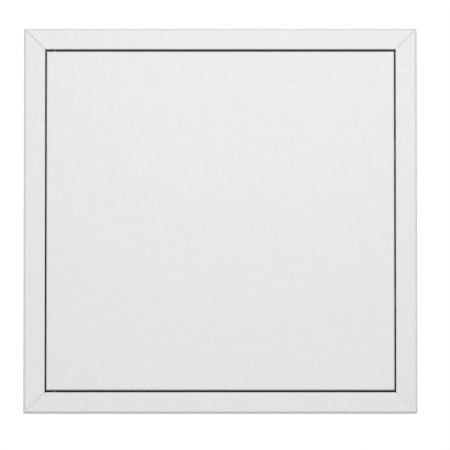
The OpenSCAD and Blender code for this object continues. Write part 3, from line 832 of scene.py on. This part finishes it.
def weld_row(low, high, inset):
    """Even places from low to high, no further apart than the welds' pitch."""
    first = low + inset
    last = high - inset
    count = max(1, math.ceil((last - first) / WELD_PITCH))
    return [first + (last - first) * i / count for i in range(count + 1)]


def weld_stiffener(weld):
    """On the feet of the hat section, along both edges."""
    low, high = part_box("door_stiffener")
    places = [
        stood_on((x, low.y + THIN_SHEET, z), INTO_VOID)
        for x in (low.x + STIFFENER_EDGE, high.x - STIFFENER_EDGE)
        for z in weld_row(low.z, high.z, STIFFENER_END)
    ]
    set_out("stiffener_welds", weld, places, "zinc_steel", "door")


def weld_strikes(weld):
    """At both ends of each strike plate."""
    for level in LEVELS:
        low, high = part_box(f"strike_plate_{level}")
        places = [
            stood_on(((low.x + high.x) / 2, high.y, z), INTO_VOID)
            for z in (low.z + STRIKE_END, high.z - STRIKE_END)
        ]
        set_out(f"strike_welds_{level}", weld, places, "zinc_steel", "door")


def weld_hinge_brackets(weld):
    """On the plate of each bracket, at set distances from its ear."""
    for end in ENDS:
        low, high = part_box(f"hinge_bracket_{end}")
        ear_z, away = (low.z, 1) if end == "top" else (high.z, -1)
        places = [
            stood_on((low.x + BRACKET_PLATE, (low.y + high.y) / 2, ear_z + away * reach), (1, 0, 0))
            for reach in BRACKET_WELDS
        ]
        set_out(f"bracket_welds_{end}", weld, places, "zinc_steel", "door")


def weld_cleats(weld):
    """On both legs of each corner cleat, at shares of their length."""
    for corner in CORNERS:
        low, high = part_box(f"corner_cleat_{corner}")
        tip_x, in_x = (high.x, -1) if high.x > 0 else (low.x, 1)
        tip_z, in_z = (high.z, -1) if high.z > 0 else (low.z, 1)
        places = []
        for share in CLEAT_WELDS:
            along = share * (high.x - low.x)
            for run_x, run_z in ((along, CLEAT_WIDE / 2), (CLEAT_WIDE / 2, along)):
                places.append(stood_on((tip_x + in_x * run_x, high.y, tip_z + in_z * run_z), INTO_VOID))
        set_out(f"cleat_welds_{corner}", weld, places, "zinc_steel", "frame")


def weld_stops(weld):
    """On the legs of the stop angles, where they look into the opening."""
    for side in SIDES:
        low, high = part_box(f"stop_angle_{side}")
        run = X_AXIS if side in ENDS else Z_AXIS
        across = Z_AXIS - run
        outward = math.copysign(1, low[across] + high[across])
        inwards = Vector((0, 0, 0))
        inwards[across] = -outward
        spot = Vector((0, high.y - STOP_EDGE, 0))
        spot[across] = (high if outward > 0 else low)[across] - outward * THIN_SHEET
        places = []
        for along in weld_row(low[run], high[run], STOP_END):
            spot[run] = along
            places.append(stood_on(spot, inwards))
        set_out(f"stop_welds_{side}", weld, places, "zinc_steel", "frame")


def make_welds():
    weld = turned(WELD_PROFILE)
    weld_stiffener(weld)
    weld_strikes(weld)
    weld_hinge_brackets(weld)
    weld_cleats(weld)
    weld_stops(weld)


# Broken mandrels, left in the rivets' heads

MANDREL_R = 0.95 * MM
MANDREL_PROFILE = [
    (MANDREL_R, 0.0), (MANDREL_R, 0.42 * MM), (0.8 * MANDREL_R, 0.55 * MM), (0.3 * MANDREL_R, 0.72 * MM),
]
MANDREL_FOOT = 0.96 * MM


def make_mandrels():
    """One in each rivet, with its foot a little below the top of the head, which looks into the opening."""
    places = []
    for low, high in solids_of("corner_rivets"):
        size = high - low
        run = X_AXIS if size.x > size.z else Z_AXIS
        place = (low + high) / 2
        outward = math.copysign(1, place[run])
        head = low[run] if outward > 0 else high[run]
        place[run] = head + outward * MANDREL_FOOT
        inwards = Vector((0, 0, 0))
        inwards[run] = -outward
        places.append(stood_on(place, inwards))
    set_out("rivet_mandrels", turned(MANDREL_PROFILE), places, "spring_steel", "frame")


# Stage: pale floor far below, since the camera looks up at the panel, and soft light

FLOOR_Z = -6.2
FLOOR_HALF = 60.0
FLOOR_COLOUR = opaque(0.86, 0.86, 0.86)
FLOOR_PALE = 0.96
AMBIENT = 0.38

# Lamps: name, place, size in metres, power in watts
LAMPS = (
    ("key", (0.1, -1.25, 0.62), 0.8, 5.8),
    ("front", (-0.2, -5.0, -0.2), 2.0, 78.0),
    ("back", (-1.6, 3.0, 2.2), 2.4, 60.0),
    ("back_right", (2.4, 2.4, 0.4), 2.0, 24.0),
)


def seen_directly(tree):
    """1 for rays that show the surroundings themselves: from the camera, in gloss and through glass."""
    path = add(tree, "ShaderNodeLightPath").outputs
    shown = math_node(tree, "MAXIMUM", path["Is Camera Ray"], path["Is Glossy Ray"])
    return math_node(tree, "MAXIMUM", shown, path["Is Transmission Ray"])


def light_world():
    """White where it is seen, and dimmer as a light."""
    world = bpy.data.worlds.new("studio")
    bpy.context.scene.world = world
    world.use_nodes = True
    tree = world.node_tree
    tree.nodes.clear()
    strength = ramp_between(tree, seen_directly(tree), 0.0, 1.0, AMBIENT, 1.0)
    sky = add(tree, "ShaderNodeBackground", {"Color": WHITE, "Strength": strength})
    add(tree, "ShaderNodeOutputWorld", {"Surface": sky.outputs[0]})


def floor_material():
    """Nearly white where it is seen, with a little of the plain floor and its shadows."""
    material = bpy.data.materials.new("floor")
    material.use_nodes = True
    tree = material.node_tree
    tree.nodes.clear()
    plain = add(tree, "ShaderNodeBsdfDiffuse", {"Color": FLOOR_COLOUR})
    pale = add(tree, "ShaderNodeEmission", {"Color": WHITE, "Strength": 1.0})
    share = math_node(tree, "MULTIPLY", seen_directly(tree), FLOOR_PALE)
    mixed = add(tree, "ShaderNodeMixShader", {0: share, 1: plain.outputs[0], 2: pale.outputs[0]})
    add(tree, "ShaderNodeOutputMaterial", {"Surface": mixed.outputs[0]})
    return material


def make_floor():
    mesh = bpy.data.meshes.new("floor")
    corners = [(x * FLOOR_HALF, y * FLOOR_HALF, FLOOR_Z) for x, y in ((-1, -1), (1, -1), (1, 1), (-1, 1))]
    mesh.from_pydata(corners, [], [(0, 1, 2, 3)])
    mesh.materials.append(floor_material())
    floor = bpy.data.objects.new("floor", mesh)
    bpy.context.scene.collection.objects.link(floor)


def light_lamps():
    """Square lamps that look at the panel's middle."""
    for name, place, size, power in LAMPS:
        lamp = bpy.data.lights.new(name, "AREA")
        lamp.shape = "SQUARE"
        lamp.size = size
        lamp.energy = power
        holder = bpy.data.objects.new(name, lamp)
        holder.location = place
        holder.rotation_euler = (-Vector(place)).to_track_quat("-Z", "Y").to_euler()
        bpy.context.scene.collection.objects.link(holder)


bpy.context.scene.view_settings.view_transform = "Standard"
place_camera()
dress_nodes()
make_seals()
make_springs()
make_welds()
make_mandrels()
light_world()
make_floor()
light_lamps()
